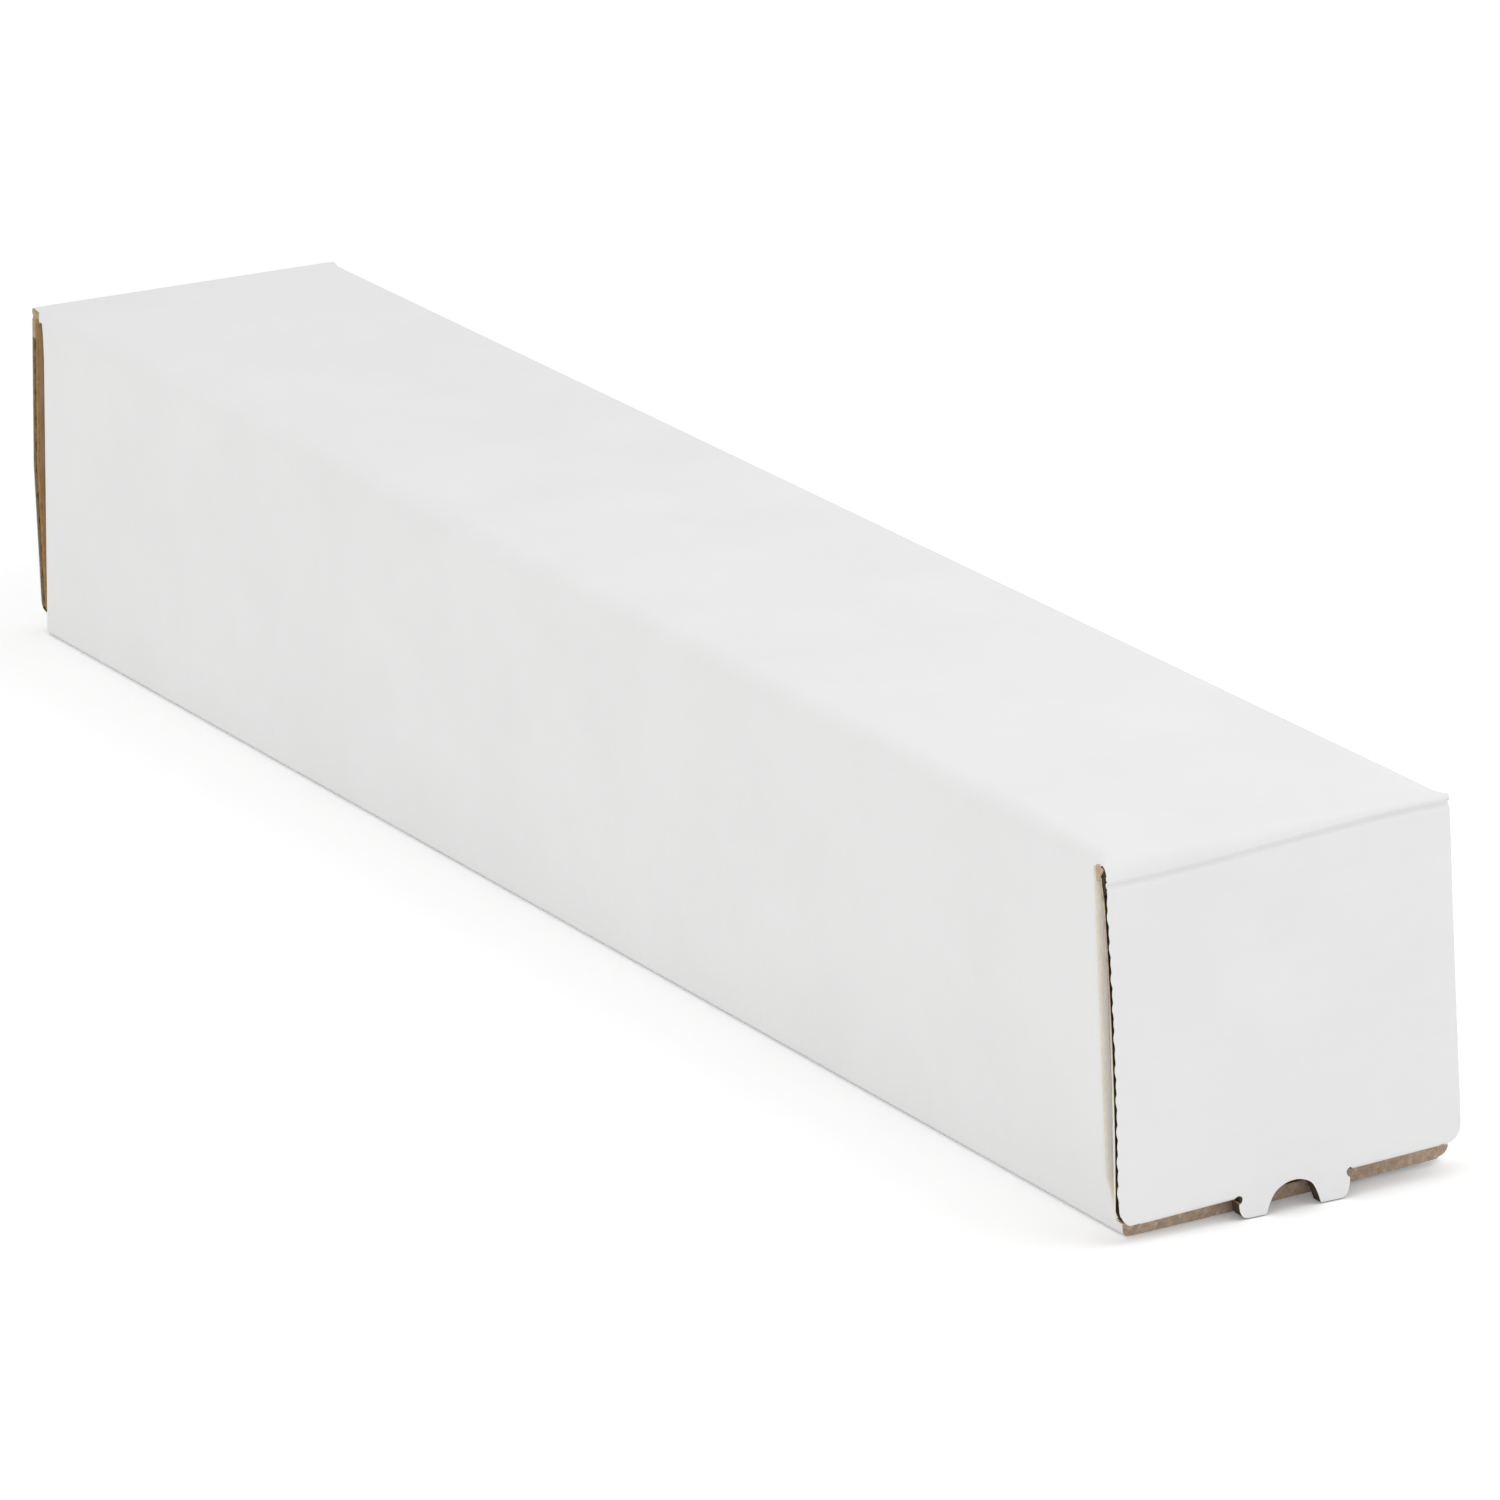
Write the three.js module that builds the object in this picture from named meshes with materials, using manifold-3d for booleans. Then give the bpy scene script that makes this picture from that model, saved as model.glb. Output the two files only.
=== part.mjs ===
// Square mailing tube, folded from one die-cut sheet of corrugated board: four long panels closed by a
// glued lap, two dust flaps at each end, and at each end a closure panel with a tuck-in flap and a lock tab.
// Millimetres, +Z up. The tube lies along X with its bottom face on Z = 0, and its centre is above the origin.

import * as THREE from 'three';
import { mergeVertices } from 'three/addons/utils/BufferGeometryUtils.js';
import Module from 'manifold-3d';

const wasm = await Module();
wasm.setup();

// Board
const BOARD = 3.0;
const LINER = 0.5;
const MEDIUM = 0.4;
const FLUTE_PITCH = 6.45;

// Clear space inside the closed tube
const CLEAR_WIDTH = 76.2;
const CLEAR_HEIGHT = 76.2;
const CLEAR_LENGTH = 508;

// Folds of the long panels, outside and inside
const SOFT_FOLD_RADIUS = 6.0;
const FOLD_RADIUS = 2.5;
const INNER_FOLD_RADIUS = 0.8;
const DUST_FOLD_RADIUS = 1.5;

// Glued lap, inside the back panel along its lower edge
const LAP_HEIGHT = 28;
const LAP_SETBACK = 36;
const LAP_TAPER = 14;

// Dust flaps
const DUST_REACH = 32;
const DUST_TOP_GAP = 1.5;
const DUST_TAPER = 5;
const DUST_CORNER_RADIUS = 6;

// Closure panel, tuck-in flap and lock tab
const RUNNING_GAP = 0.3;
const CLOSURE_STANDOFF = 1.4;
const CLOSURE_SIDE_INSET = 0.4;
const CLOSURE_CORNER_RADIUS = 4.5;
const CREASE_RADIUS = 1.6;
const TUCK_DEPTH = 28;
const TUCK_SIDE_GAP = 1.6;
const TUCK_TAPER = 7;
const SWEEP_GAP = 1.2;
const TAB_WIDTH = 27;
const TAB_CORNER_RADIUS = 2;
const TAB_FLOOR_GAP = 0.3;
const NOTCH_WIDTH = 12.4;
const NOTCH_HEIGHT = 3.8;
const NICK_RADIUS = 0.9;
const MOUTH_DEPTH = 5;
const MOUTH_MARGIN = 2;

// Facets: points on a quarter turn, and points on one half wave of the flutes
const QUARTER_STEPS = 5;
const WAVE_STEPS = 6;

// How far a cutting solid runs past what it cuts
const CUT_MARGIN = 1;

// Sizes that follow
const outerWidth = CLEAR_WIDTH + 2 * BOARD;
const outerHeight = CLEAR_HEIGHT + 2 * BOARD;
const halfWidth = outerWidth / 2;
const panelEnd = CLEAR_LENGTH / 2 + BOARD;
const creaseX = panelEnd + CLOSURE_STANDOFF + BOARD;
const topPanelEnd = creaseX - BOARD - RUNNING_GAP;
const sweepRadius = outerHeight - BOARD - RUNNING_GAP;
const closureBottom = outerHeight - sweepRadius;
const tuckDrop = sweepRadius - Math.sqrt(sweepRadius ** 2 - TUCK_DEPTH ** 2);
const tuckAngle = Math.atan2(tuckDrop, TUCK_DEPTH);
const tuckInnerRadius = sweepRadius * Math.cos(tuckAngle) - BOARD;
const dustBottom = outerHeight - tuckInnerRadius + SWEEP_GAP;
const dustTop = outerHeight - BOARD - DUST_TOP_GAP;

// Frames for outlines drawn in another plane than X, Y
const alongX = new THREE.Matrix4().makeBasis(
  new THREE.Vector3(0, 1, 0), new THREE.Vector3(0, 0, 1), new THREE.Vector3(1, 0, 0));
const alongY = new THREE.Matrix4().makeBasis(
  new THREE.Vector3(1, 0, 0), new THREE.Vector3(0, 0, 1), new THREE.Vector3(0, -1, 0));

function toSolid(geometry) {
  const bare = geometry.clone();
  bare.deleteAttribute('normal');
  bare.deleteAttribute('uv');
  const merged = mergeVertices(bare, 1e-5);
  return new wasm.Manifold(new wasm.Mesh({
    numProp: 3,
    vertProperties: Float32Array.from(merged.attributes.position.array),
    triVerts: Uint32Array.from(merged.index.array),
  }));
}

function toGeometry(solid) {
  const mesh = solid.getMesh();
  const geometry = new THREE.BufferGeometry();
  geometry.setAttribute('position', new THREE.BufferAttribute(mesh.vertProperties, 3));
  geometry.setIndex(new THREE.BufferAttribute(mesh.triVerts, 1));
  return geometry;
}

function prism(shape, from, to, frame = null) {
  const geometry = new THREE.ExtrudeGeometry(shape, {
    depth: to - from, bevelEnabled: false, curveSegments: QUARTER_STEPS,
  });
  geometry.translate(0, 0, from);
  if (frame) {
    geometry.applyMatrix4(frame);
  }
  return toSolid(geometry);
}

// An outline drawn in X and Z, extruded over a stretch of Y
function prismAlongY(shape, fromY, toY) {
  return prism(shape, -toY, -fromY, alongY);
}

function block(x0, x1, y0, y1, z0, z1) {
  const geometry = new THREE.BoxGeometry(x1 - x0, y1 - y0, z1 - z0);
  geometry.translate((x0 + x1) / 2, (y0 + y1) / 2, (z0 + z1) / 2);
  return toSolid(geometry);
}

function polygon(points) {
  const corners = points.map(([u, v]) => new THREE.Vector2(u, v));
  return new THREE.Shape(THREE.ShapeUtils.isClockWise(corners) ? corners.reverse() : corners);
}

// Rectangle with one radius per corner: low-low, high-low, high-high, low-high
function roundedRectangle(u0, u1, v0, v1, radii) {
  const [a, b, c, d] = radii;
  const quarter = Math.PI / 2;
  const shape = new THREE.Shape();
  shape.moveTo(u0 + a, v0);
  shape.lineTo(u1 - b, v0);
  shape.absarc(u1 - b, v0 + b, b, -quarter, 0, false);
  shape.lineTo(u1, v1 - c);
  shape.absarc(u1 - c, v1 - c, c, 0, quarter, false);
  shape.lineTo(u0 + d, v1);
  shape.absarc(u0 + d, v1 - d, d, quarter, 2 * quarter, false);
  shape.lineTo(u0, v0 + a);
  shape.absarc(u0 + a, v0 + a, a, 2 * quarter, 3 * quarter, false);
  return shape;
}

// What a rounded edge along Y takes off a square corner: the corner is at (x, z), the body lies
// towards (insideX, insideZ), each 1 or -1.
function edgeCutter(x, z, insideX, insideZ, radius, fromY, toY) {
  const pastX = x - insideX * CUT_MARGIN;
  const pastZ = z - insideZ * CUT_MARGIN;
  const centreX = x + insideX * radius;
  const centreZ = z + insideZ * radius;
  const points = [];
  for (let step = 0; step <= QUARTER_STEPS; step += 1) {
    const turn = (Math.PI / 2) * (step / QUARTER_STEPS);
    points.push([centreX - insideX * radius * Math.sin(turn), centreZ - insideZ * radius * Math.cos(turn)]);
  }
  points.push([pastX, centreZ], [pastX, pastZ], [centreX, pastZ]);
  return prismAlongY(polygon(points), fromY, toY);
}

// The square ring of the four long panels, seen along X
const foldRadii = [FOLD_RADIUS, FOLD_RADIUS, FOLD_RADIUS, SOFT_FOLD_RADIUS];
const innerFoldRadii = foldRadii.map((radius) => Math.max(radius - BOARD, INNER_FOLD_RADIUS));

function outerSection() {
  return roundedRectangle(-halfWidth, halfWidth, 0, outerHeight, foldRadii);
}

function innerSection() {
  return roundedRectangle(-halfWidth + BOARD, halfWidth - BOARD, BOARD, outerHeight - BOARD, innerFoldRadii);
}

function longPanels() {
  const beyond = topPanelEnd + CUT_MARGIN;
  const ring = prism(outerSection(), -topPanelEnd, topPanelEnd, alongX)
    .subtract(prism(innerSection(), -beyond, beyond, alongX));
  const plan = roundedRectangle(-panelEnd, panelEnd, -halfWidth, halfWidth, Array(4).fill(DUST_FOLD_RADIUS));
  const underTop = outerHeight - BOARD;
  const lower = ring.intersect(prism(plan, -CUT_MARGIN, underTop));
  const reach = halfWidth - CLOSURE_SIDE_INSET;
  const overTop = outerHeight + CUT_MARGIN;
  const topStrip = ring.intersect(block(-beyond, beyond, -reach, reach, underTop, overTop));
  const topPanel = ring.intersect(block(-panelEnd, panelEnd, -outerWidth, outerWidth, underTop, overTop));
  return lower.add(topStrip).add(topPanel);
}

function gluedLap() {
  const long = panelEnd - LAP_SETBACK;
  const short = long - LAP_TAPER;
  const low = BOARD / 2;
  const high = BOARD + LAP_HEIGHT;
  const outline = polygon([[-long, low], [long, low], [short, high], [-short, high]]);
  const inner = halfWidth - 2 * BOARD;
  return prismAlongY(outline, inner, halfWidth - BOARD / 2);
}

// One dust flap, folded in from a long side panel. end is 1 or -1 along X, side is 1 or -1 along Y.
function dustFlap(end, side) {
  const root = halfWidth - BOARD / 2;
  const tip = halfWidth - DUST_REACH;
  const outline = new THREE.Shape();
  outline.moveTo(root, dustBottom);
  outline.lineTo(root, dustTop);
  outline.lineTo(tip + DUST_CORNER_RADIUS, dustTop - DUST_TAPER);
  outline.absarc(tip + DUST_CORNER_RADIUS, dustTop - DUST_TAPER - DUST_CORNER_RADIUS, DUST_CORNER_RADIUS,
    Math.PI / 2, Math.PI, false);
  outline.lineTo(tip, dustBottom + DUST_TAPER + DUST_CORNER_RADIUS);
  outline.absarc(tip + DUST_CORNER_RADIUS, dustBottom + DUST_TAPER + DUST_CORNER_RADIUS, DUST_CORNER_RADIUS,
    Math.PI, 1.5 * Math.PI, false);
  outline.lineTo(root, dustBottom);
  const flap = prism(outline, panelEnd - BOARD, panelEnd, alongX);
  const mirrored = side > 0 ? flap : flap.mirror([0, 1, 0]);
  return end > 0 ? mirrored : mirrored.mirror([1, 0, 0]);
}

function foldedSleeve() {
  let sleeve = longPanels().add(gluedLap());
  for (const end of [1, -1]) {
    for (const side of [1, -1]) {
      sleeve = sleeve.add(dustFlap(end, side));
    }
  }
  return sleeve;
}

// The flute ends that show along a cut side of a closure panel: one hollow under each half wave of the
// medium, against the outer liner and against the inner liner in turn.
function fluteMouths(fromY, toY) {
  const middle = creaseX - BOARD / 2;
  const swing = BOARD / 2 - LINER;
  const low = closureBottom + CLOSURE_CORNER_RADIUS + MOUTH_MARGIN;
  const high = outerHeight - BOARD - MOUTH_MARGIN;
  const halfPitch = FLUTE_PITCH / 2;
  const count = Math.floor((high - low) / halfPitch);
  let mouths = null;
  for (let index = 0; index < count; index += 1) {
    const side = index % 2 === 0 ? 1 : -1;
    const start = low + index * halfPitch;
    const points = [];
    for (let step = 0; step <= WAVE_STEPS; step += 1) {
      const share = step / WAVE_STEPS;
      const wave = swing * (1 - 2 * Math.sin(Math.PI * share)) + MEDIUM / 2;
      points.push([middle + side * Math.min(wave, swing), start + share * halfPitch]);
    }
    const hollow = prismAlongY(polygon(points), fromY, toY);
    mouths = mouths ? mouths.add(hollow) : hollow;
  }
  return mouths;
}

// Front outline of the closure panel and its lock tab, drawn in Y and Z
function closureOutline() {
  const reach = halfWidth - CLOSURE_SIDE_INSET;
  const corner = CLOSURE_CORNER_RADIUS;
  const tab = TAB_WIDTH / 2;
  const tabLow = TAB_FLOOR_GAP;
  const round = TAB_CORNER_RADIUS;
  const quarter = Math.PI / 2;
  const outline = new THREE.Shape();
  outline.moveTo(reach, outerHeight);
  outline.lineTo(-reach, outerHeight);
  outline.lineTo(-reach, closureBottom + corner);
  outline.absarc(-reach + corner, closureBottom + corner, corner, 2 * quarter, 3 * quarter, false);
  outline.lineTo(-tab, closureBottom);
  outline.lineTo(-tab, tabLow + round);
  outline.absarc(-tab + round, tabLow + round, round, 2 * quarter, 3 * quarter, false);
  outline.lineTo(tab - round, tabLow);
  outline.absarc(tab - round, tabLow + round, round, 3 * quarter, 4 * quarter, false);
  outline.lineTo(tab, closureBottom);
  outline.lineTo(reach - corner, closureBottom);
  outline.absarc(reach - corner, closureBottom + corner, corner, 3 * quarter, 4 * quarter, false);
  return outline;
}

// Rod along X, for round cuts through the closure panel
function crossRod(y, z, radius) {
  const rod = new THREE.CylinderGeometry(radius, radius, 4 * BOARD, 8 * QUARTER_STEPS);
  rod.rotateZ(Math.PI / 2);
  rod.translate(creaseX - BOARD / 2, y, z);
  return toSolid(rod);
}

// Tuck-in flap: its underside is a chord of the circle that the closure sweeps about its crease, so the
// stiff flap clears the bottom panel as it swings out.
function tuckFlap() {
  const reach = halfWidth - BOARD - TUCK_SIDE_GAP;
  const cos = Math.cos(tuckAngle);
  const sin = Math.sin(tuckAngle);
  const tipX = creaseX - TUCK_DEPTH;
  const tipZ = closureBottom + tuckDrop;
  const outline = polygon([
    [creaseX - BOARD / 2, closureBottom + (BOARD / 2) * Math.tan(tuckAngle)],
    [creaseX - BOARD / 2, closureBottom + BOARD / cos + (BOARD / 2) * Math.tan(tuckAngle)],
    [tipX + BOARD * sin, tipZ + BOARD * cos],
    [tipX, tipZ],
  ]);
  const flap = prismAlongY(outline, -reach, reach);
  const rootX = creaseX - BOARD;
  const plan = polygon([
    [rootX + BOARD, -reach], [rootX + BOARD, reach], [rootX - BOARD, reach],
    [tipX - BOARD, reach - TUCK_TAPER], [tipX - BOARD, -reach + TUCK_TAPER], [rootX - BOARD, -reach],
  ]);
  const trimmed = flap.intersect(prism(plan, 0, outerHeight));
  const tabLength = closureBottom - TAB_FLOOR_GAP;
  const tab = TAB_WIDTH / 2;
  return trimmed.subtract(block(rootX - tabLength, rootX, -tab, tab, 0, outerHeight / 2));
}

function endFlap() {
  const reach = halfWidth - CLOSURE_SIDE_INSET;
  const beyond = halfWidth + CUT_MARGIN;
  const tab = TAB_WIDTH / 2;
  let flap = prism(closureOutline(), creaseX - BOARD, creaseX, alongX);
  flap = flap.intersect(prism(outerSection(), 0, creaseX + CUT_MARGIN, alongX));
  flap = flap.add(tuckFlap());
  flap = flap.subtract(edgeCutter(creaseX, outerHeight, -1, -1, CREASE_RADIUS, -beyond, beyond));
  flap = flap.subtract(edgeCutter(creaseX, closureBottom, -1, 1, CREASE_RADIUS, -beyond, -tab - NICK_RADIUS));
  flap = flap.subtract(edgeCutter(creaseX, closureBottom, -1, 1, CREASE_RADIUS, tab + NICK_RADIUS, beyond));
  flap = flap.subtract(crossRod(-tab, closureBottom, NICK_RADIUS));
  flap = flap.subtract(crossRod(tab, closureBottom, NICK_RADIUS));
  const notchRadius = ((NOTCH_WIDTH / 2) ** 2 + NOTCH_HEIGHT ** 2) / (2 * NOTCH_HEIGHT);
  flap = flap.subtract(crossRod(0, TAB_FLOOR_GAP + NOTCH_HEIGHT - notchRadius, notchRadius));
  flap = flap.subtract(fluteMouths(reach - MOUTH_DEPTH, beyond));
  flap = flap.subtract(fluteMouths(-beyond, -reach + MOUTH_DEPTH));
  return flap;
}

const whiteBoard = { color: 0xe9e9e8, roughness: 0.62, metalness: 0 };

function boardMesh(name, solid) {
  const mesh = new THREE.Mesh(toGeometry(solid), new THREE.MeshStandardMaterial(whiteBoard));
  mesh.name = name;
  return mesh;
}

const tube = new THREE.Group();
tube.add(boardMesh('folded_sleeve', foldedSleeve()));
tube.add(boardMesh('near_end_flap', endFlap()));
tube.add(boardMesh('far_end_flap', endFlap().mirror([1, 0, 0])));

export default tube;
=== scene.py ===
import math

import bmesh
import bpy
from mathutils import Matrix, Vector, noise


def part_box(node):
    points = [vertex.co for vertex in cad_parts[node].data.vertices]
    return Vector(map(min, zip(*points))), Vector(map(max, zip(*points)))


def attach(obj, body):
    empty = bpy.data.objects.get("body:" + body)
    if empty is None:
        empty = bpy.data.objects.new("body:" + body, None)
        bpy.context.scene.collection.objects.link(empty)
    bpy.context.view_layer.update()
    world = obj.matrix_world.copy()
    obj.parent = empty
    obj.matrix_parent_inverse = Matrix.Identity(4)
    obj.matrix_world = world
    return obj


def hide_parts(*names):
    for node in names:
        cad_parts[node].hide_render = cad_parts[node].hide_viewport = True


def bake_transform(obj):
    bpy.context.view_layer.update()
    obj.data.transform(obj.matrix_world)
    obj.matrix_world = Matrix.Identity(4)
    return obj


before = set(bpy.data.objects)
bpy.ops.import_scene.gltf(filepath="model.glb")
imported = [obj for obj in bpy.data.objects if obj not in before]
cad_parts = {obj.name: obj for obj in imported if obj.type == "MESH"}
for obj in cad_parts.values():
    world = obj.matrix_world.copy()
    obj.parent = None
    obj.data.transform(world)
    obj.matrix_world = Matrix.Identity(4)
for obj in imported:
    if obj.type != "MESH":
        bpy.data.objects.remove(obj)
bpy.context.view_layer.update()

# Shapes are drawn in millimetres and become metres when a piece is finished
MM = 0.001

# Sizes that the frame gives
SLEEVE_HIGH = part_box("folded_sleeve")[1]
FLAP_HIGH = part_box("near_end_flap")[1]
HALF_WIDTH = SLEEVE_HIGH[1] / MM
HEIGHT = SLEEVE_HIGH[2] / MM
CREASE_X = FLAP_HIGH[0] / MM

# Board
BOARD = 3.0
LINER = 0.35
FLUTE_PITCH = 6.45

# Sleeve
STANDOFF = 1.4
PANEL_END = CREASE_X - BOARD - STANDOFF
SOFT_FOLD_RADIUS = 6.0
FAR_FOLD_RADIUS = 1.2
NEAR_FOLD_RADIUS = 4.0
FAR_FOLD_SPAN = 45.0
NEAR_FOLD_SPAN = 40.0
BACK_FOLD_RADIUS = 2.5
CRISP_FOLD_RADIUS = 1.4
INNER_FOLD_RADIUS = 0.8
DUST_FOLD_RADIUS = 2.0
BOTTOM_LEDGE = 0.9
LEDGE_RADII = (1.4, 1.4, 1.0, 0.4)
LEDGE_SHORT = 2.6
LAP_HEIGHT = 28.0
LAP_SETBACK = 36.0
LAP_TAPER = 14.0

# Dust flaps
DUST_REACH = 32.0
DUST_LOW = 9.0
DUST_HIGH = 77.6
DUST_TAPER = 5.0
DUST_CORNER = 6.0

# Closure
CLOSURE_HALF = 41.0
CLOSURE_LOW = 3.3
CLOSURE_CORNER = 4.5
HINGE_DEPTH = 7.5
TUCK_DEPTH = 28.0
TUCK_RISE = 5.1
TUCK_SIDE_GAP = 1.8
TUCK_TAPER = 7.0
TAB_LEFT = -12.7
TAB_RIGHT = 13.9
TAB_LOW = 0.1
TAB_CORNER = 2.2
NOTCH_CENTRE = 0.35
NOTCH_HALF = 6.5
NOTCH_HEIGHT = 4.5
NICK_RADIUS = 0.8
CREASE_ROUND = 1.3

# Cut sides of a closure: the inner liner is dragged over the flutes and leaves a slot by the outer liner
SLOT_WIDTH = 1.6
SLOT_DEPTH = 5.0
CURL_RADIUS = 0.4
CURL_SETBACK = 0.1
EDGE_RIPPLE = 0.3
BACK_RIPPLE = 0.06
EDGE_RIPPLE_DEPTH = 2.0
EDGE_STRAY = 0.8
EDGE_STEP = 0.8

# Wavy medium in that slot
FLUTE_PAPER = 0.2
FLUTE_SETBACK = 0.35
FLUTE_SAMPLES = 14

# Facets
ARC_STEPS = 8
CURL_STEPS = 5
NICK_STEPS = 23
NICK_TURN = 345
NOTCH_STEPS = 59
NOTCH_TURN = 354
STATION_STEP = 4.0
PANEL_STEP = 6.0
CLOSURE_STEP = 3.0
SHARP_ANGLE = math.radians(34)

# How far a cutting shape reaches past what it cuts
PAST = 1.0

# How near a place counts as being on a face, loosely and closely, and how near two points count as one
MARGIN = 1.0
TOLERANCE = 0.05
HAIR = 0.02
WELD = 1e-5

# How squarely a face has to look along an axis to count as facing that way
FACING = 0.9


def arc(centre, radius, start, end, steps=ARC_STEPS):
    points = []
    for step in range(steps + 1):
        angle = math.radians(start + (end - start) * step / steps)
        points.append((centre[0] + radius * math.cos(angle), centre[1] + radius * math.sin(angle)))
    return points


# The radii belong to the corners low-low, high-low, high-high and low-high
def rounded_rectangle(low_u, high_u, low_v, high_v, radii):
    low_low, high_low, high_high, low_high = radii
    points = arc((high_u - high_low, low_v + high_low), high_low, -90, 0)
    points += arc((high_u - high_high, high_v - high_high), high_high, 0, 90)
    points += arc((low_u + low_high, high_v - low_high), low_high, 90, 180)
    points += arc((low_u + low_low, low_v + low_low), low_low, 180, 270)
    return points


def smooth(share):
    share = min(1.0, max(0.0, share))
    return share * share * (3 - 2 * share)


def mix(a, b, share):
    return a + (b - a) * share


def link(name, mesh):
    piece = bpy.data.objects.new(name, mesh)
    bpy.context.scene.collection.objects.link(piece)
    return piece


def solid(name, points, faces):
    mesh = bpy.data.meshes.new(name)
    mesh.from_pydata(points, [], faces)
    work = bmesh.new()
    work.from_mesh(mesh)
    bmesh.ops.remove_doubles(work, verts=work.verts, dist=WELD)
    bmesh.ops.recalc_face_normals(work, faces=work.faces)
    work.to_mesh(mesh)
    work.free()
    return link(name, mesh)


# An outline extruded along one axis: the outline's two coordinates are the other two axes in order
def prism(outline, axis, low, high):
    def place(point, level):
        corner = list(point)
        corner.insert(axis, level)
        return corner

    count = len(outline)
    points = [place(point, low) for point in outline] + [place(point, high) for point in outline]
    faces = [list(range(count)), list(range(2 * count - 1, count - 1, -1))]
    for index in range(count):
        following = (index + 1) % count
        faces.append([index, following, count + following, count + index])
    return solid("prism", points, faces)


def block(low, high):
    outline = [(low[0], low[1]), (high[0], low[1]), (high[0], high[1]), (low[0], high[1])]
    return prism(outline, 2, low[2], high[2])


# The tool is used up
def combine(piece, tool, operation):
    modifier = piece.modifiers.new("combine", "BOOLEAN")
    modifier.operation = operation
    modifier.solver = "EXACT"
    modifier.object = tool
    graph = bpy.context.evaluated_depsgraph_get()
    mesh = bpy.data.meshes.new_from_object(piece.evaluated_get(graph))
    piece.modifiers.clear()
    piece.data = mesh
    bpy.data.objects.remove(tool)
    return piece


def join(piece, tool):
    return combine(piece, tool, "UNION")


def cut(piece, tool):
    return combine(piece, tool, "DIFFERENCE")


def mirrored(piece, axis):
    scale = [1, 1, 1]
    scale[axis] = -1
    copy = link(piece.name, piece.data.copy())
    copy.data.transform(Matrix.Diagonal((*scale, 1)))
    copy.data.flip_normals()
    return copy


# Cuts a piece's faces by planes across one axis, so that they can bend with a warp
def refine(piece, axis, step, low, high):
    normal = Vector((0, 0, 0))
    normal[axis] = 1
    work = bmesh.new()
    work.from_mesh(piece.data)
    count = max(1, round((high - low) / step))
    for index in range(count + 1):
        place = Vector((0, 0, 0))
        place[axis] = low + (high - low) * index / count
        geometry = work.verts[:] + work.edges[:] + work.faces[:]
        bmesh.ops.bisect_plane(work, geom=geometry, dist=WELD, plane_co=place, plane_no=normal)
    work.to_mesh(piece.data)
    work.free()


# The tube is slightly twisted: the bottom of each section is shifted against its top, in millimetres along Y
FAR_SHIFT = -1.7
NEAR_SHIFT = 2.4

# How the sleeve's ends stand, in millimetres along X, at the top and at the bottom
FAR_END_TOP = 1.1
FAR_END_BOTTOM = -1.1
NEAR_LEDGE_FRONT = 4.2
NEAR_LEDGE_BACK = -0.4
NEAR_LEDGE_LIFT = 1.3
END_ZONE = 60.0
LEDGE_ZONE = 30.0

# How the closures stand: the near one is pushed out at its foot, the far one is bowed
NEAR_LEAN_FRONT = 5.0
NEAR_LEAN_BACK = 3.6
NEAR_FOOT_FRONT = -0.2
NEAR_FOOT_BACK = 3.5

# How far the near closure's sides are shifted along Y: three terms of a curve for the front side, one for
# the back side
NEAR_SHIFT_FRONT = (-0.3, 3.2, -3.8)
NEAR_SHIFT_BACK = 0.6

FAR_BOW = 1.3
FAR_FOOT = 2.0
FAR_BOW_LEVEL = 42.0


def twist(x, z):
    share = (x / CREASE_X + 1) / 2
    return mix(FAR_SHIFT, NEAR_SHIFT, share) * (1 - z / HEIGHT)


# 0 at the tube's front side, 1 at its back side
def across(y):
    return min(1.0, max(0.0, (y / HALF_WIDTH + 1) / 2))


def sleeve_warp(point):
    x, y, z = point
    level = z / HEIGHT
    far = smooth((-x - PANEL_END + END_ZONE) / END_ZONE)
    ledge = smooth((x - PANEL_END + LEDGE_ZONE) / LEDGE_ZONE) * smooth(1 - (z - BOARD) / (3 * BOARD))
    top_fade = smooth((HEIGHT - BOARD - z) / (2 * BOARD))
    shift = far * mix(FAR_END_BOTTOM, FAR_END_TOP, level) * top_fade
    shift += ledge * mix(NEAR_LEDGE_FRONT, NEAR_LEDGE_BACK, across(y))
    lift = ledge * NEAR_LEDGE_LIFT * across(y) ** 2
    return Vector((x + shift, y + twist(x, z), z + lift))


def near_warp(point):
    x, y, z = point
    foot = 1 - z / HEIGHT
    lean = mix(NEAR_LEAN_FRONT, NEAR_LEAN_BACK, across(y)) * foot
    drop = mix(NEAR_FOOT_FRONT, NEAR_FOOT_BACK, across(y)) * smooth(foot)
    above = smooth((z - TAB_LOW) / CLOSURE_LOW)
    constant, slope, curve = NEAR_SHIFT_FRONT
    aside = mix(constant + slope * foot + curve * foot ** 2, NEAR_SHIFT_BACK * foot ** 2, across(y))
    return Vector((x + lean, y + aside, z + drop * above))


def far_warp(point):
    x, y, z = point
    if z > FAR_BOW_LEVEL:
        bow = FAR_BOW * (HEIGHT - z) / (HEIGHT - FAR_BOW_LEVEL)
    else:
        bow = mix(-FAR_FOOT, FAR_BOW, z / FAR_BOW_LEVEL)
    return Vector((x - bow, y + twist(x, z), z))


# Paints a piece face by face, warps it, turns it into metres and enters it in the frame
def finish_piece(piece, name, body, materials, choose, warp, replaces=()):
    mesh = piece.data
    mesh.materials.clear()
    for material in materials:
        mesh.materials.append(material)
    for face in mesh.polygons:
        face.material_index = choose(face.center, face.normal)
        face.use_smooth = True
    for vertex in mesh.vertices:
        vertex.co = warp(vertex.co) * MM
    mesh.set_sharp_from_angle(angle=SHARP_ANGLE)
    mesh.update()
    piece.name = name
    mesh.name = name
    if replaces:
        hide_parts(*replaces)
    if body:
        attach(piece, body)


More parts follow.
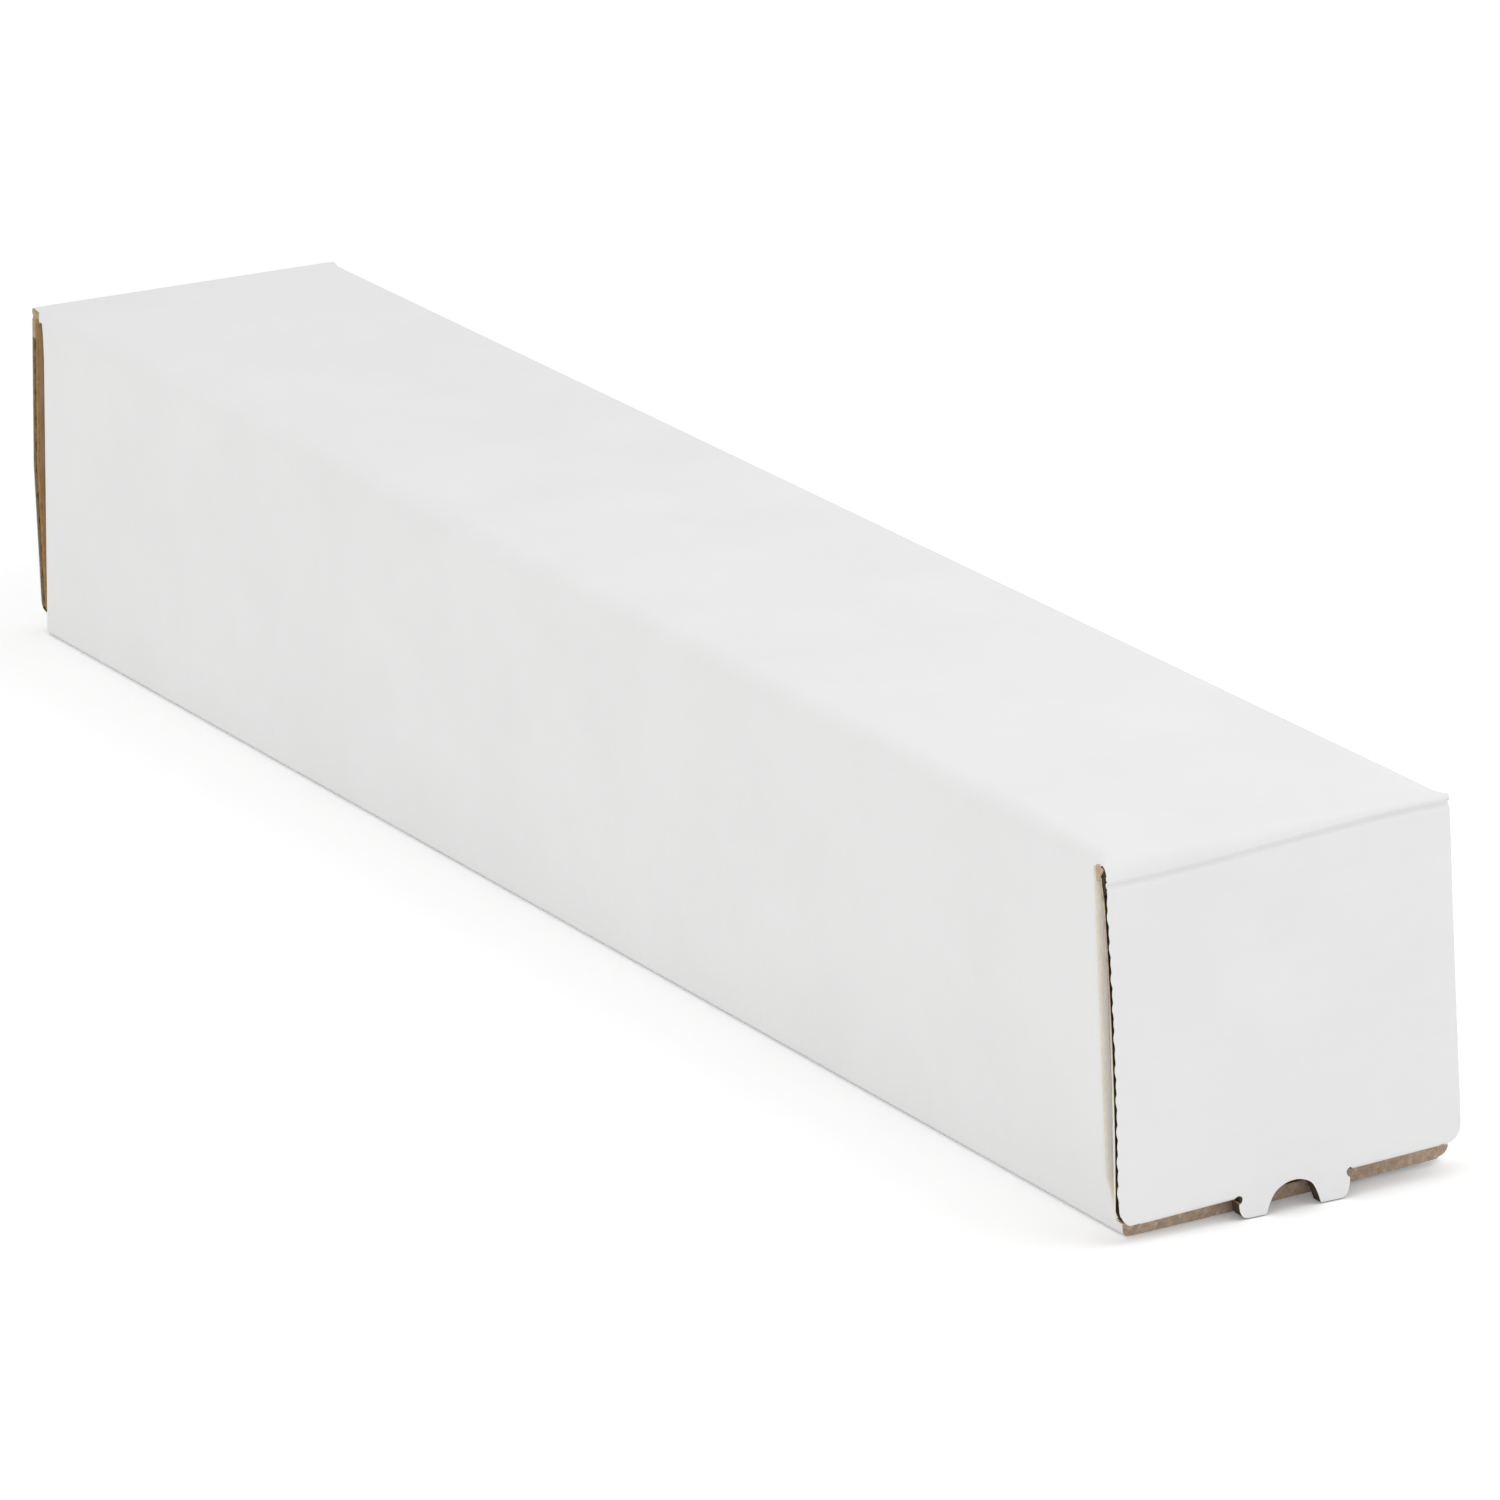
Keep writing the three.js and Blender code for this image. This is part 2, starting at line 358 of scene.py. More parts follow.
# Builds one material's nodes
class Nodes:
    def __init__(self, name):
        self.material = bpy.data.materials.new(name)
        self.material.use_nodes = True
        self.tree = self.material.node_tree
        self.shader = self.tree.nodes["Principled BSDF"]
        self.place = self.add("ShaderNodeTexCoord").outputs["Object"]

    def add(self, kind, **settings):
        node = self.tree.nodes.new(kind)
        for key, value in settings.items():
            setattr(node, key, value)
        return node

    def feed(self, node, socket, value):
        if isinstance(value, bpy.types.NodeSocket):
            self.tree.links.new(value, node.inputs[socket])
        else:
            node.inputs[socket].default_value = value

    def noise(self, scale, detail=3.0, roughness=0.5, stretch=(1, 1, 1)):
        mapping = self.add("ShaderNodeMapping")
        self.feed(mapping, "Vector", self.place)
        self.feed(mapping, "Scale", stretch)
        texture = self.add("ShaderNodeTexNoise")
        self.feed(texture, "Vector", mapping.outputs["Vector"])
        self.feed(texture, "Scale", scale)
        self.feed(texture, "Detail", detail)
        self.feed(texture, "Roughness", roughness)
        return texture.outputs["Fac"]

    def math(self, operation, first, second=0.0):
        node = self.add("ShaderNodeMath", operation=operation)
        self.feed(node, 0, first)
        self.feed(node, 1, second)
        return node.outputs[0]

    def ramp(self, value, stops):
        node = self.add("ShaderNodeValToRGB")
        self.feed(node, "Fac", value)
        elements = node.color_ramp.elements
        while len(elements) < len(stops):
            elements.new(0.5)
        for element, (place, colour) in zip(elements, stops):
            element.position = place
            element.color = (*colour, 1)
        return node.outputs["Color"]

    def blend(self, share, first, second):
        node = self.add("ShaderNodeMix", data_type="RGBA")
        self.feed(node, "Factor", share)
        self.feed(node, "A", first)
        self.feed(node, "B", second)
        return node.outputs["Result"]

    def bump(self, height, distance, strength=1.0, below=None):
        node = self.add("ShaderNodeBump")
        self.feed(node, "Height", height)
        self.feed(node, "Distance", distance)
        self.feed(node, "Strength", strength)
        if below is not None:
            self.feed(node, "Normal", below)
        return node.outputs["Normal"]


# Colours are written as a screen shows them, from 0 to 255, and shaders take them as linear light
def linear(*values):
    out = []
    for value in values:
        share = value / 255
        out.append(share / 12.92 if share <= 0.04045 else ((share + 0.055) / 1.055) ** 2.4)
    return tuple(out)


LINER_SHADE = (232, 232, 232)
LINER_LIGHT = (236, 236, 236)
LINER_FLECK = (196, 190, 178)


# White liner: clay-coated paper, with the flutes faintly showing through. flute_axis is the direction
# across the flutes.
def white_liner(name, flute_axis):
    nodes = Nodes(name)
    cloud = nodes.noise(26.0, 4.0, 0.6)
    colour = nodes.ramp(cloud, [(0.3, linear(*LINER_SHADE)), (0.7, linear(*LINER_LIGHT))])
    speck = nodes.noise(900.0, 2.0, 0.5)
    fleck = nodes.ramp(speck, [(0.66, (0, 0, 0)), (0.78, (1, 1, 1))])
    colour = nodes.blend(nodes.math("MULTIPLY", fleck, 0.05), colour, (*linear(*LINER_FLECK), 1))
    nodes.feed(nodes.shader, "Base Color", colour)
    nodes.feed(nodes.shader, "Roughness", nodes.math("ADD", nodes.math("MULTIPLY", cloud, 0.12), 0.52))
    nodes.shader.inputs["Specular IOR Level"].default_value = 0.35
    parts = nodes.add("ShaderNodeSeparateXYZ")
    nodes.feed(parts, "Vector", nodes.place)
    turn = nodes.math("MULTIPLY", parts.outputs[flute_axis], 2 * math.pi / (FLUTE_PITCH * MM))
    wave = nodes.math("SINE", turn)
    wave = nodes.math("MULTIPLY", wave, nodes.math("ADD", nodes.noise(14.0, 2.0, 0.5), 0.2))
    board = nodes.bump(wave, 0.000045)
    fibre = nodes.noise(1500.0, 4.0, 0.65)
    nodes.feed(nodes.shader, "Normal", nodes.bump(fibre, 0.00003, 0.6, board))
    return nodes.material


# Brown kraft paper with long fibres
def kraft_liner(name, dark, light, stretch):
    nodes = Nodes(name)
    cloud = nodes.noise(60.0, 4.0, 0.6)
    fibre = nodes.noise(420.0, 5.0, 0.7, stretch)
    share = nodes.math("ADD", nodes.math("MULTIPLY", cloud, 0.45), nodes.math("MULTIPLY", fibre, 0.55))
    colour = nodes.ramp(share, [(0.32, linear(*dark)), (0.68, linear(*light))])
    nodes.feed(nodes.shader, "Base Color", colour)
    nodes.feed(nodes.shader, "Roughness", nodes.math("ADD", nodes.math("MULTIPLY", fibre, 0.2), 0.68))
    nodes.shader.inputs["Specular IOR Level"].default_value = 0.2
    nodes.feed(nodes.shader, "Normal", nodes.bump(fibre, 0.00008, 0.9))
    return nodes.material


# The dragged edge of the near closure is brown at the top and fades to cream between these heights; the
# cream is a painted highlight with a warm reflection
CURL_FADE_TOP = 58.0
CURL_FADE_FOOT = 24.0
CURL_FADE_COLOUR = (238, 231, 214)


# Torn and crushed board where the knife went through. Some copies carry painted shade and painted light in
# their colours, noted where they are made.
def cut_board(name, dark, light, pale, fades=False):
    nodes = Nodes(name)
    fibre = nodes.noise(650.0, 6.0, 0.75)
    clump = nodes.noise(240.0, 3.0, 0.6)
    colour = nodes.ramp(fibre, [(0.3, linear(*dark)), (0.66, linear(*light))])
    torn = nodes.ramp(clump, [(0.6, (0, 0, 0)), (0.72, (1, 1, 1))])
    colour = nodes.blend(nodes.math("MULTIPLY", torn, 0.6), colour, (*linear(*pale), 1))
    # Cream towards the foot: painted highlight with a warm reflection
    if fades:
        parts = nodes.add("ShaderNodeSeparateXYZ")
        nodes.feed(parts, "Vector", nodes.place)
        share = nodes.add("ShaderNodeMapRange", interpolation_type="SMOOTHSTEP")
        nodes.feed(share, "Value", parts.outputs["Z"])
        nodes.feed(share, "From Min", CURL_FADE_TOP * MM)
        nodes.feed(share, "From Max", CURL_FADE_FOOT * MM)
        colour = nodes.blend(share.outputs["Result"], colour, (*linear(*CURL_FADE_COLOUR), 1))
    nodes.feed(nodes.shader, "Base Color", colour)
    nodes.feed(nodes.shader, "Roughness", 0.9)
    nodes.shader.inputs["Specular IOR Level"].default_value = 0.1
    height = nodes.math("ADD", fibre, nodes.math("MULTIPLY", clump, 1.5))
    nodes.feed(nodes.shader, "Normal", nodes.bump(height, 0.00025, 1.0))
    return nodes.material


white_long = white_liner("white_long_panels", "X")
white_end = white_liner("white_closure", "Z")
white_dust = white_liner("white_dust_flaps", "Y")
kraft = kraft_liner("kraft_inside", (150, 121, 88), (190, 160, 122), (1, 1, 0.12))
kraft_edge = cut_board("cut_edge", (158, 134, 114), (204, 182, 160), (240, 234, 224))
# Cut walls of the tab, notch and tuck: cut board darkened as painted shade
dark_edge = cut_board("shaded_cut_edge", (58, 47, 36), (98, 81, 62), (124, 104, 82))
# Walls of the near slots: near-black kraft as painted shade in the recess
slot_paper = cut_board("slot_paper", (44, 34, 24), (78, 62, 46), (110, 92, 70))
# Rounded outer folds of the dust flaps: white liner tinted cream as painted shade and painted warm
# reflection, with cut board's fibre texture
shaded_fold = cut_board("fold_painted_shade_and_reflection", (228, 222, 206), (240, 235, 222), (230, 220, 198))
# Dragged edge of the near closure: tan kraft, with the foot's cream as painted highlight
kraft_curl = cut_board("dragged_edge", (164, 142, 114), (208, 190, 162), (236, 226, 206), fades=True)
# The far closure's dragged edge: brown kraft, made darker than the near copy as painted shade
far_curl = cut_board("far_dragged_edge", (132, 98, 58), (172, 134, 88), (150, 118, 78))
far_slot = cut_board("far_slot_paper", (150, 134, 100), (188, 172, 138), (196, 184, 158))
# Medium between the liners: brown paper, darkened further as painted shade in the slots
flute_paper = kraft_liner("flute_paper", (84, 66, 46), (134, 112, 86), (1, 0.2, 1))


# The front long fold at the top is soft in the middle of the tube and tighter towards both ends
def soft_radius(x):
    far = smooth((x + PANEL_END) / FAR_FOLD_SPAN)
    near = smooth((PANEL_END - x) / NEAR_FOLD_SPAN)
    far_loss = (SOFT_FOLD_RADIUS - FAR_FOLD_RADIUS) * (1 - far)
    near_loss = (SOFT_FOLD_RADIUS - NEAR_FOLD_RADIUS) * (1 - near)
    return SOFT_FOLD_RADIUS - far_loss - near_loss


# The sleeve's outline across the tube, or its inside with the board's thickness as inset
def section(inset, x):
    radii = [CRISP_FOLD_RADIUS, BACK_FOLD_RADIUS, BACK_FOLD_RADIUS, soft_radius(x)]
    if inset:
        radii = [max(radius - inset, INNER_FOLD_RADIUS) for radius in radii]
    reach = HALF_WIDTH - inset
    return rounded_rectangle(-reach, reach, inset, HEIGHT - inset, radii)


# One solid along the tube, reaching past both panel ends
def tube(inset, past):
    count = round(2 * PANEL_END / STATION_STEP)
    points = []
    faces = []
    for station in range(count + 1):
        x = mix(-PANEL_END, PANEL_END, station / count)
        place = x * (PANEL_END + past) / PANEL_END
        outline = section(inset, x)
        points += [(place, y, z) for y, z in outline]
    ring = len(outline)
    for station in range(count):
        here = station * ring
        for index in range(ring):
            following = (index + 1) % ring
            faces.append([here + index, here + following, here + ring + following, here + ring + index])
    faces.append(list(range(ring)))
    faces.append(list(range(count * ring, (count + 1) * ring)))
    return solid("tube", points, faces)


# Rounds the fold between a side panel and its dust flap
def corner_cutter(end, side):
    radius = DUST_FOLD_RADIUS
    outline = arc((PANEL_END - radius, HALF_WIDTH - radius), radius, 0, 90)
    outline += [(PANEL_END - radius, HALF_WIDTH + PAST), (PANEL_END + PAST, HALF_WIDTH + PAST)]
    outline += [(PANEL_END + PAST, HALF_WIDTH - radius)]
    outline = [(end * x, side * y) for x, y in outline]
    return prism(outline, 2, BOARD if end > 0 else -PAST, HEIGHT - BOARD)


def dust_flap(end, side):
    root = HALF_WIDTH - BOARD / 2
    tip = HALF_WIDTH - DUST_REACH
    inner = tip + DUST_CORNER
    outline = [(root, DUST_LOW), (root, DUST_HIGH)]
    outline += arc((inner, DUST_HIGH - DUST_TAPER - DUST_CORNER), DUST_CORNER, 90, 180)
    outline += arc((inner, DUST_LOW + DUST_TAPER + DUST_CORNER), DUST_CORNER, 180, 270)
    outline = [(side * y, z) for y, z in outline]
    low, high = sorted((end * (PANEL_END - BOARD), end * PANEL_END))
    return prism(outline, 0, low, high)


# The tube, its dust flaps, the bottom panel's ledge under the near closure and the glued lap
def make_sleeve():
    past = 2 * PAST
    sleeve = cut(tube(0, 0), tube(BOARD, past))
    for end in (1, -1):
        for side in (1, -1):
            sleeve = cut(sleeve, corner_cutter(end, side))
    ledge = rounded_rectangle(-HALF_WIDTH, HALF_WIDTH - LEDGE_SHORT, 0, BOARD, LEDGE_RADII)
    sleeve = join(sleeve, prism(ledge, 0, PANEL_END - past, PANEL_END + BOTTOM_LEDGE))
    for end in (1, -1):
        for side in (1, -1):
            sleeve = join(sleeve, dust_flap(end, side))
    long = PANEL_END - LAP_SETBACK
    outline = [(-long, BOARD / 2), (long, BOARD / 2), (long - LAP_TAPER, BOARD + LAP_HEIGHT)]
    outline += [(LAP_TAPER - long, BOARD + LAP_HEIGHT)]
    sleeve = join(sleeve, prism(outline, 1, HALF_WIDTH - 2 * BOARD, HALF_WIDTH - BOARD / 2))
    refine(sleeve, 2, PANEL_STEP, PANEL_STEP, HEIGHT - PANEL_STEP)
    refine(sleeve, 1, PANEL_STEP, PANEL_STEP - HALF_WIDTH, HALF_WIDTH - PANEL_STEP)
    return sleeve


# The sleeve's materials, in the order of their slots
LONG, DUST, INSIDE, CUT, SHADED_FOLD = range(5)
SHADED_FOLD_FACING = (0.35, 0.8)


def sleeve_paint(centre, normal):
    x, y, z = centre
    end = abs(x) > PANEL_END - BOARD - TOLERANCE
    in_flap = DUST_LOW - MARGIN < z < DUST_HIGH + MARGIN
    faces_end = abs(normal.x) > FACING
    if end and in_flap and abs(y) < HALF_WIDTH - BOARD - TOLERANCE:
        if faces_end:
            return DUST if normal.x * x > 0 else INSIDE
        return CUT
    if end and faces_end:
        if in_flap or y > HALF_WIDTH - LEDGE_SHORT:
            return DUST
        return CUT
    # Half-turned faces of the dust flaps' rounded folds get the cream of painted shade and warm reflection
    if end and SHADED_FOLD_FACING[0] < abs(normal.x) < SHADED_FOLD_FACING[1] and normal.x * x > 0:
        return SHADED_FOLD
    lap_side = HALF_WIDTH - 2 * BOARD - TOLERANCE < y < HALF_WIDTH - BOARD
    low_enough = z < BOARD + LAP_HEIGHT + MARGIN
    if lap_side and low_enough and (faces_end or normal.z > FACING):
        return CUT
    return LONG if normal.y * y + normal.z * (z - HEIGHT / 2) > 0 else INSIDE


sleeve_materials = [white_long, white_dust, kraft, kraft_edge, shaded_fold]
finish_piece(make_sleeve(), "sleeve_board", "sleeve", sleeve_materials, sleeve_paint, sleeve_warp,
             ["folded_sleeve"])


# The slanted fold between the top panel and the near closure: a wide round at the front, a tight one at
# the back, with the scored line under it. The far one's round is the same all along.
FRONT_ROUND = 5.2
BACK_ROUND = 1.1
FAR_ROUND = 1.6
SCORE_DROP = 0.7
SCORE_DEPTH = 0.75
SCORE_WIDTH = 0.9
SCORE_SPAN = 2.2
SCORE_STEPS = 12
HINGE_ROWS = 30


# The crease strip's outer and inner liner, as seen from the side, with as many points each
def hinge_profile(radius):
    reach = min(radius, CREASE_X - PANEL_END - 2 * TOLERANCE)
    outer = [(PANEL_END, HEIGHT)]
    for step in range(ARC_STEPS + 1):
        angle = math.radians(90 - 90 * step / ARC_STEPS)
        x = CREASE_X - reach + reach * math.cos(angle)
        outer.append((x, HEIGHT - radius + radius * math.sin(angle)))
    below = HEIGHT - radius
    score_span = min(SCORE_SPAN, HINGE_DEPTH - radius - TOLERANCE)
    for step in range(1, SCORE_STEPS + 1):
        level = score_span * step / SCORE_STEPS
        dent = SCORE_DEPTH * math.exp(-((level - SCORE_DROP) / SCORE_WIDTH) ** 2)
        outer.append((CREASE_X - dent, below - level))
    outer.append((CREASE_X, HEIGHT - HINGE_DEPTH))
    inner = []
    count = len(outer)
    corner = count // 2
    for index in range(count):
        if index <= corner:
            inner.append((mix(PANEL_END, CREASE_X - BOARD, index / corner), HEIGHT - BOARD))
        else:
            share = (index - corner) / (count - 1 - corner)
            inner.append((CREASE_X - BOARD, mix(HEIGHT - BOARD, HEIGHT - HINGE_DEPTH, share)))
    return outer, inner


# How far the rounded long fold drops at a place across the tube
def fold_drop(y, radius):
    past = max(0.0, abs(y) - (HALF_WIDTH - radius))
    return radius - math.sqrt(max(0.0, radius ** 2 - past ** 2))


# Places across the tube, close together over the rounded long folds
def hinge_places(front_fold):
    front = [y for y, z in arc((front_fold - HALF_WIDTH, 0), front_fold, 180, 90)]
    back = [y for y, z in arc((HALF_WIDTH - BACK_FOLD_RADIUS, 0), BACK_FOLD_RADIUS, 90, 0)]
    middle = [mix(front[-1], back[0], row / HINGE_ROWS) for row in range(1, HINGE_ROWS)]
    return [min(CLOSURE_HALF, max(-CLOSURE_HALF, y)) for y in front + middle + back]


# Faces of a strip whose points are rows of layers, each of count points
def hinge_faces(rows, layers, count):
    ring = count * layers
    faces = []
    for row in range(rows):
        here = row * ring
        above = here + ring
        for index in range(count - 1):
            faces.append([here + index, here + index + 1, above + index + 1, above + index])
            low = ring - count + index
            faces.append([here + low, here + low + 1, above + low + 1, above + low])
        for index in (0, count - 1):
            for layer in range(layers - 1):
                first = layer * count + index
                second = first + count
                faces.append([here + first, here + second, above + second, above + first])
    for row in (0, rows):
        for layer in range(layers - 1):
            here = row * ring + layer * count
            for index in range(count - 1):
                low = here + index
                faces.append([low, low + 1, low + count + 1, low + count])
    return faces


# The crease strip: outer liner, hollow flutes and inner liner are layers of its cut sides
def make_hinge(end, front_radius, back_radius, front_fold):
    depths = (0.0, LINER / BOARD, (LINER + SLOT_WIDTH) / BOARD, 1.0)
    places = hinge_places(front_fold)
    points = []
    for y in places:
        outer, inner = hinge_profile(mix(front_radius, back_radius, smooth(across(y))))
        drop = fold_drop(y, front_fold if y < 0 else BACK_FOLD_RADIUS)
        for depth in depths:
            for (x, z), (inner_x, inner_z) in zip(outer, inner):
                bent = mix(x, inner_x, depth)
                along = smooth((bent - PANEL_END) / (CREASE_X - PANEL_END))
                points.append((end * bent, y, mix(z, inner_z, depth) - drop * (1 - along)))
    return solid("hinge", points, hinge_faces(len(places) - 1, len(depths), len(outer)))


# The closure panel seen from above: slots run in from both cut sides, behind the outer liner
def closure_panel_plan():
    half = CLOSURE_HALF
    back = CREASE_X - BOARD
    slot_front = CREASE_X - LINER
    slot_back = slot_front - SLOT_WIDTH
    curl = half - CURL_SETBACK
    right = [(CREASE_X, half), (slot_front, half), (slot_front, half - SLOT_DEPTH)]
    right += [(slot_back, half - SLOT_DEPTH), (slot_back, curl)]
    right += arc((back + CURL_RADIUS, curl - CURL_RADIUS), CURL_RADIUS, 90, 180, CURL_STEPS)
    left = [(x, -y) for x, y in reversed(right)]
    return right + left


# Rounds the two lower corners of the closure panel
def round_corners(panel):
    half = CLOSURE_HALF
    corner = CLOSURE_CORNER
    for side in (1, -1):
        outline = arc((half - corner, CLOSURE_LOW + corner), corner, 270, 360)
        outline += [(half + PAST, CLOSURE_LOW + corner), (half + PAST, CLOSURE_LOW - PAST)]
        outline += [(half - corner, CLOSURE_LOW - PAST)]
        outline = [(side * y, z) for y, z in outline]
        panel = cut(panel, prism(outline, 0, CREASE_X - 2 * BOARD, CREASE_X + PAST))
    return panel


# Rounds the panel's lower edge on both sides of the lock tab, where it folds into the tuck-in flap
def round_crease(panel):
    half = CLOSURE_HALF
    for low, high in ((-half - PAST, TAB_LEFT), (TAB_RIGHT, half + PAST)):
        outline = [(CREASE_X - CREASE_ROUND, CLOSURE_LOW - PAST), (CREASE_X + PAST, CLOSURE_LOW - PAST)]
        outline += [(CREASE_X + PAST, CLOSURE_LOW + CREASE_ROUND)]
        outline += arc((CREASE_X - CREASE_ROUND, CLOSURE_LOW + CREASE_ROUND), CREASE_ROUND, 0, -90)
        panel = cut(panel, prism(outline, 1, low, high))
    return panel


def make_tab():
    outline = [(TAB_RIGHT, CLOSURE_LOW + BOARD), (TAB_LEFT, CLOSURE_LOW + BOARD)]
    outline += arc((TAB_LEFT + TAB_CORNER, TAB_LOW + TAB_CORNER), TAB_CORNER, 180, 270)
    outline += arc((TAB_RIGHT - TAB_CORNER, TAB_LOW + TAB_CORNER), TAB_CORNER, 270, 360)
    return prism(outline, 0, CREASE_X - BOARD, CREASE_X)


# The small round nicks where the tab leaves the crease, and the thumb notch. Both are whole circles, drawn
# without a second point at their start.
def cut_nicks_and_notch(panel):
    for y in (TAB_LEFT, TAB_RIGHT):
        nick = arc((y, CLOSURE_LOW), NICK_RADIUS, 0, NICK_TURN, NICK_STEPS)
        panel = cut(panel, prism(nick, 0, CREASE_X - 2 * BOARD, CREASE_X + PAST))
    radius = (NOTCH_HALF ** 2 + NOTCH_HEIGHT ** 2) / (2 * NOTCH_HEIGHT)
    centre = (NOTCH_CENTRE, TAB_LOW + NOTCH_HEIGHT - radius)
    notch = arc(centre, radius, 0, NOTCH_TURN, NOTCH_STEPS)
    return cut(panel, prism(notch, 0, CREASE_X - BOARD - PAST, CREASE_X + PAST))


def make_closure():
    half = CLOSURE_HALF
    panel = prism(closure_panel_plan(), 2, CLOSURE_LOW, HEIGHT - HINGE_DEPTH)
    panel = round_crease(round_corners(panel))
    panel = join(panel, make_tab())
    panel = join(panel, make_tuck())
    panel = cut_nicks_and_notch(panel)
    refine(panel, 2, EDGE_STEP, CLOSURE_LOW + BOARD, HEIGHT - HINGE_DEPTH)
    refine(panel, 1, CLOSURE_STEP, -half + SLOT_DEPTH, half - SLOT_DEPTH)
    for side in (1, -1):
        rim = side * (half - EDGE_RIPPLE_DEPTH)
        refine(panel, 1, 1.0, rim - 0.5, rim + 0.5)
    return panel


# The outer liner's cut edge follows the flutes, most at mid-height of a panel, none at its corners
def ripple(panel):
    for vertex in panel.data.vertices:
        x, y, z = vertex.co
        share = smooth((abs(y) - CLOSURE_HALF + EDGE_RIPPLE_DEPTH) / EDGE_RIPPLE_DEPTH)
        outer = x > CREASE_X - LINER - TOLERANCE
        from_corner = smooth((z - CLOSURE_LOW - CLOSURE_CORNER) / BOARD)
        from_hinge = smooth((HEIGHT - HINGE_DEPTH - z) / BOARD)
        if outer and share > 0:
            stray = EDGE_STRAY * noise.noise(Vector((y, 0, z * 0.1)))
            turn = math.sin(2 * math.pi * z / FLUTE_PITCH + stray)
            size = (EDGE_RIPPLE if y < 0 else BACK_RIPPLE) * share * (from_corner * from_hinge)
            vertex.co.y += math.copysign(size * turn, y)
            vertex.co.x -= 0.5 * size * (1 - turn)


# The tuck-in flap, sloping up inside the tube from the closure's lower crease, cut free behind the tab
def make_tuck():
    reach = HALF_WIDTH - BOARD - TUCK_SIDE_GAP
    angle = math.atan2(TUCK_RISE, TUCK_DEPTH)
    tip_x = CREASE_X - TUCK_DEPTH
    tip_z = CLOSURE_LOW + TUCK_RISE
    half = BOARD / 2
    outline = [(CREASE_X - half, CLOSURE_LOW + half * math.tan(angle))]
    outline += [(CREASE_X - half, CLOSURE_LOW + BOARD / math.cos(angle) + half * math.tan(angle))]
    outline += [(tip_x + BOARD * math.sin(angle), tip_z + BOARD * math.cos(angle)), (tip_x, tip_z)]
    flap = prism(outline, 1, -reach, reach)
    root = CREASE_X - BOARD
    for side in (1, -1):
        wedge = [(root - BOARD, reach), (tip_x - BOARD, reach - TUCK_TAPER), (tip_x - BOARD, reach + BOARD)]
        wedge += [(root - BOARD, reach + BOARD)]
        flap = cut(flap, prism([(x, side * y) for x, y in wedge], 2, 0, HEIGHT))
    tab_length = CLOSURE_LOW - TAB_LOW
    return cut(flap, block((root - tab_length, TAB_LEFT, 0), (root, TAB_RIGHT, HEIGHT / 2)))


# A closure's materials, in the order of their slots
OUT, CURL, BACK, EDGE, SLOT = range(5)
SIDE_FACING = 0.3
RIM = 0.5
LINER_SPREAD = 0.3


def closure_paint(centre, normal):
    x, y, z = centre
    rim = abs(y) - CLOSURE_HALF
    if x > CREASE_X - CREASE_ROUND - HAIR and normal.x > TOLERANCE and abs(normal.y) < SIDE_FACING:
        return OUT
    if z < CLOSURE_LOW + TUCK_RISE and x < CREASE_X - BOARD / 2 and normal.z < -FACING:
        return OUT
    if rim > -RIM and x > CREASE_X - LINER - LINER_SPREAD:
        return OUT
    if rim > -2 * CURL_RADIUS and x < CREASE_X - LINER - SLOT_WIDTH - HAIR:
        return CURL
    if x < CREASE_X - BOARD + TOLERANCE or normal.z > FACING:
        return BACK
    # Slot walls: on the near closure near black as painted shade
    if rim > -SLOT_DEPTH - 2 * TOLERANCE and z > CLOSURE_LOW + BOARD:
        return SLOT
    # Remaining cut walls: cut board darkened as painted shade
    return EDGE


def hinge_paint(centre, normal):
    x, y, z = centre
    if abs(normal.y) > FACING:
        depth = min(CREASE_X - x, HEIGHT - z)
        if depth < LINER:
            return OUT
        # The crease's slot layer: on the near crease near black as painted shade
        return SLOT if depth < LINER + SLOT_WIDTH else CURL
    inside = x < CREASE_X - BOARD + TOLERANCE and z < HEIGHT - BOARD + TOLERANCE
    return BACK if inside else OUT


# Wavy medium in the slots along the closure's cut sides, in brown paper darkened further as painted shade
def make_flutes():
    swing = SLOT_WIDTH / 2 - FLUTE_PAPER / 2
    middle = CREASE_X - LINER - SLOT_WIDTH / 2
    low = CLOSURE_LOW + CLOSURE_CORNER
    high = HEIGHT - HINGE_DEPTH
    samples = int((high - low) / FLUTE_PITCH * FLUTE_SAMPLES)
    points = []
    faces = []
    for side in (1, -1):
        start = len(points)
        for index in range(samples + 1):
            z = mix(low, high, index / samples)
            turn = 2 * math.pi * z / FLUTE_PITCH
            uneven = 1 + 0.25 * noise.noise(Vector((side * 7.0, 0.0, z * 0.35)))
            x = middle + swing * min(1.0, uneven) * math.sin(turn)
            ragged = 0.25 * noise.noise(Vector((3.0, side * 5.0, z * 0.8)))
            rim = CLOSURE_HALF - CURL_SETBACK - FLUTE_SETBACK - ragged
            for y in (rim, CLOSURE_HALF - SLOT_DEPTH):
                for offset in (-FLUTE_PAPER / 2, FLUTE_PAPER / 2):
                    points.append((x + offset, side * y, z))
        for index in range(samples):
            here = start + 4 * index
            above = here + 4
            for a, b in ((0, 1), (1, 3), (3, 2), (2, 0)):
                faces.append([here + a, here + b, above + b, above + a])
        faces.append([start, start + 1, start + 3, start + 2])
        last = start + 4 * samples
        faces.append([last, last + 1, last + 3, last + 2])
    return solid("flutes", points, faces)


closure_materials = [white_end, kraft_curl, kraft, dark_edge, slot_paper]
# The far closure's dragged edge is darker as painted shade
far_materials = [white_end, far_curl, kraft, dark_edge, far_slot]


# The far end's pieces are painted by the near end's rules
def paint_mirrored(choose):
    flip = Vector((-1, 1, 1))

    def chosen(centre, normal):
        return choose(centre * flip, normal * flip)

    return chosen


